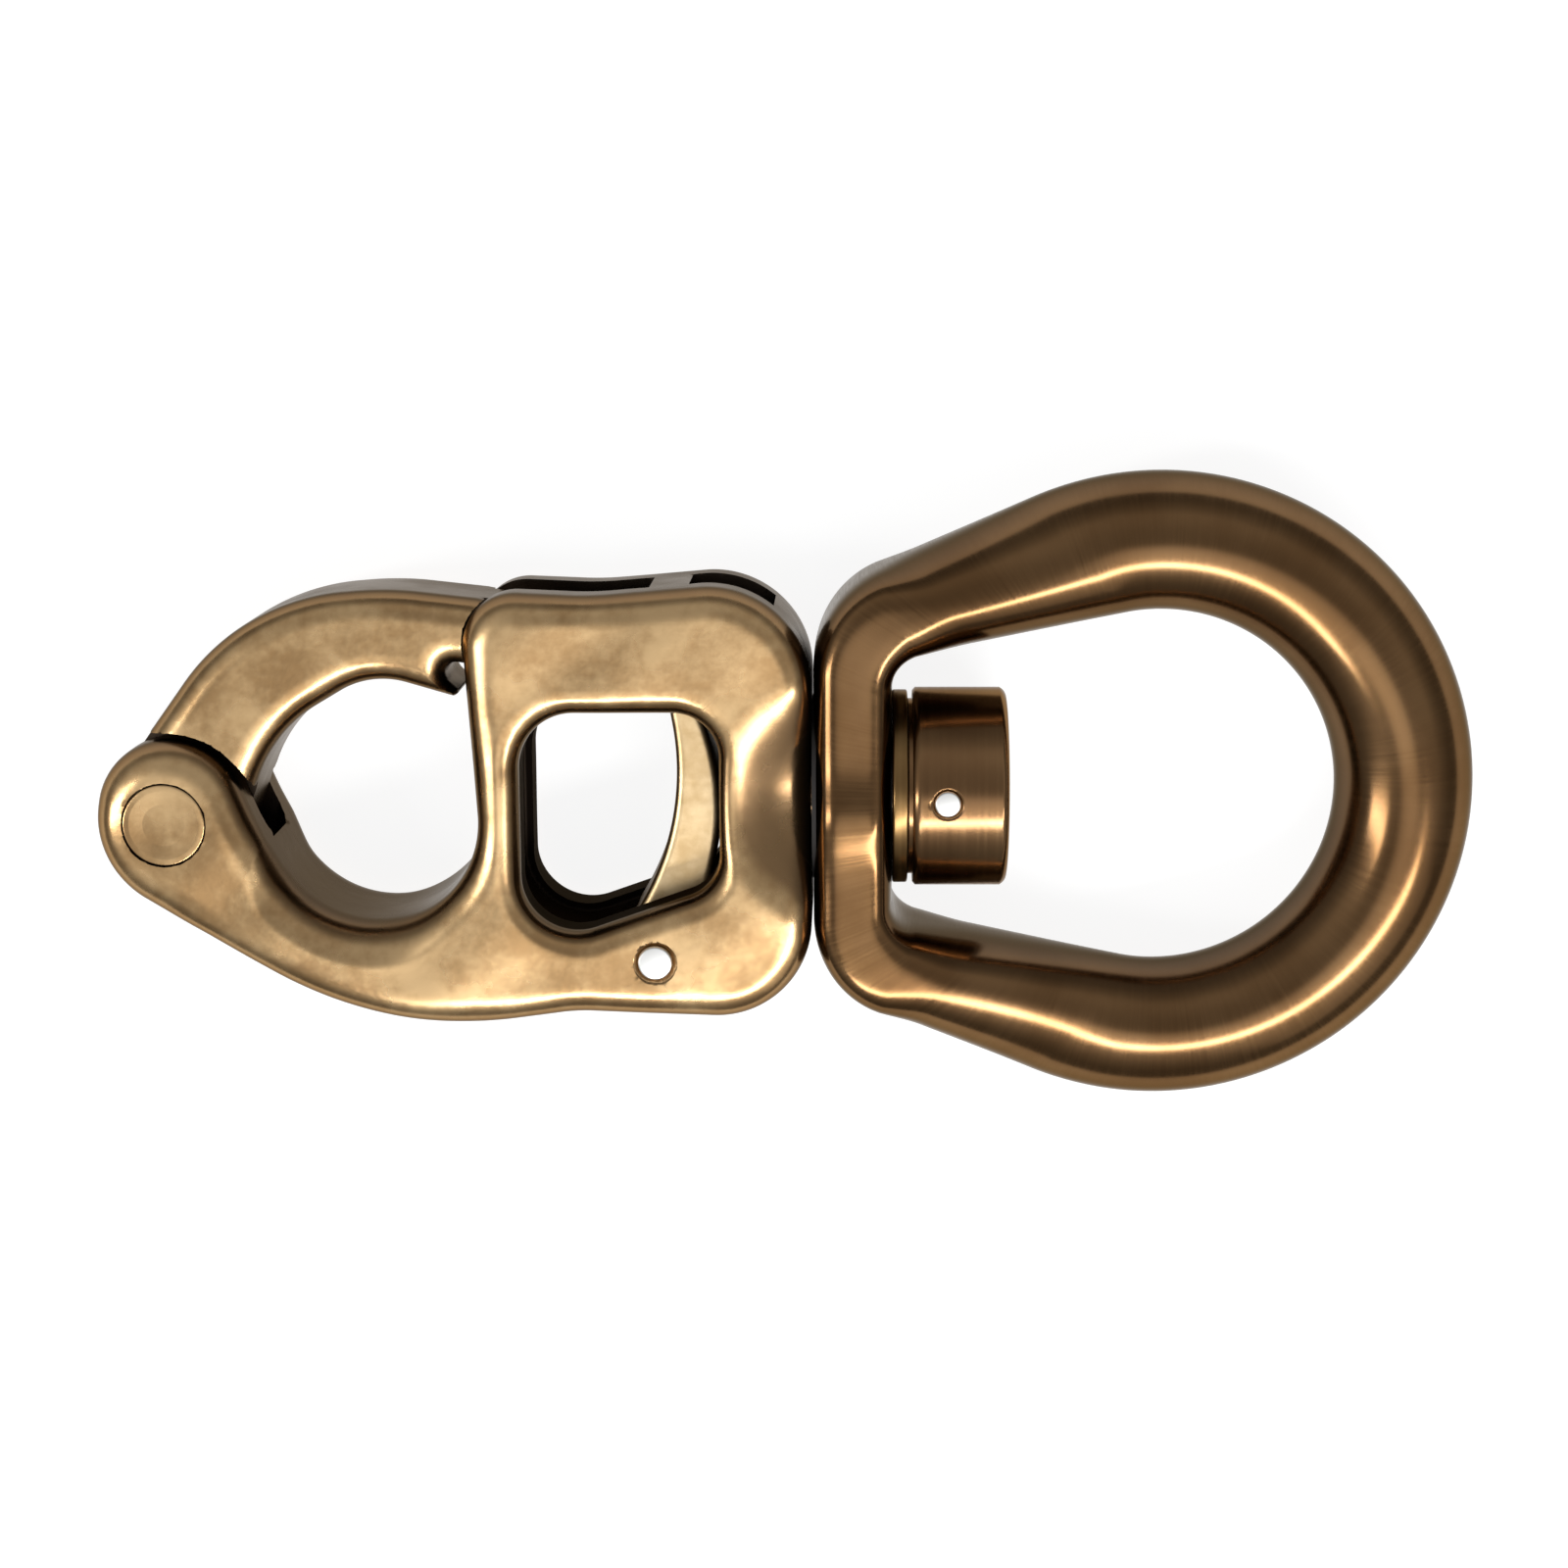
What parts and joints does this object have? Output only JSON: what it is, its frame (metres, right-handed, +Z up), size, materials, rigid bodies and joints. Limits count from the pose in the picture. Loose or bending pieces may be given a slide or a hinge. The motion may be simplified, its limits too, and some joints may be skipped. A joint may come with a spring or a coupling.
{
  "type": "trigger snap shackle",
  "caption": "Trigger snap shackle lying flat: windowed body with a hinged jaw and an inside trigger lever, and a large ring bail that turns on a swivel shaft with a round nut.",
  "frame": {"origin": "on the floor, below the middle of the overall length, on the load line (the swivel's axis)", "axes": "+X along the load line from the nose to the bail; +Y towards the jaw's side; +Z up, through the thickness"},
  "size_m": [0.133, 0.0618, 0.0196],
  "materials": {
    "light_bronze": "satin, light golden bronze coating on stainless steel",
    "dark_bronze": "brushed, dark bronze coating on stainless steel",
    "steel_pin": "plain ground stainless steel",
    "spring_wire": "drawn stainless wire",
    "bearing": "plain dark bearing plastic"
  },
  "bodies": {
    "frame": {"body": "light_bronze", "jaw_pin": "light_bronze", "trigger_pin": "steel_pin", "thrust_washer": "dark_bronze", "swivel_nut": "dark_bronze", "nut_lock_pin": "steel_pin"},
    "jaw": {"jaw": "light_bronze"},
    "trigger": {"trigger": "light_bronze", "trigger_spring": "spring_wire"},
    "bail": {"bail": "dark_bronze", "swivel_bush": "bearing"}
  },
  "joints": [
    {"name": "jaw_pivot", "type": "hinge", "parent": "frame", "child": "jaw", "pos_m": [-0.05959, -0.002, 0.0098], "axis": [0, 0, 1], "range_deg": [0, 90]},
    {"name": "trigger_pivot", "type": "hinge", "parent": "frame", "child": "trigger", "pos_m": [-0.01309, -0.0155, 0.0098], "axis": [0, 0, -1], "range_deg": [0, 8], "stiffness_Nm_per_rad": 0.2, "springref_deg": -20.05},
    {"name": "bail_swivel", "type": "hinge", "parent": "frame", "child": "bail", "pos_m": [0.00601, 0, 0.0098], "axis": [1, 0, 0], "continuous": true}
  ]
}
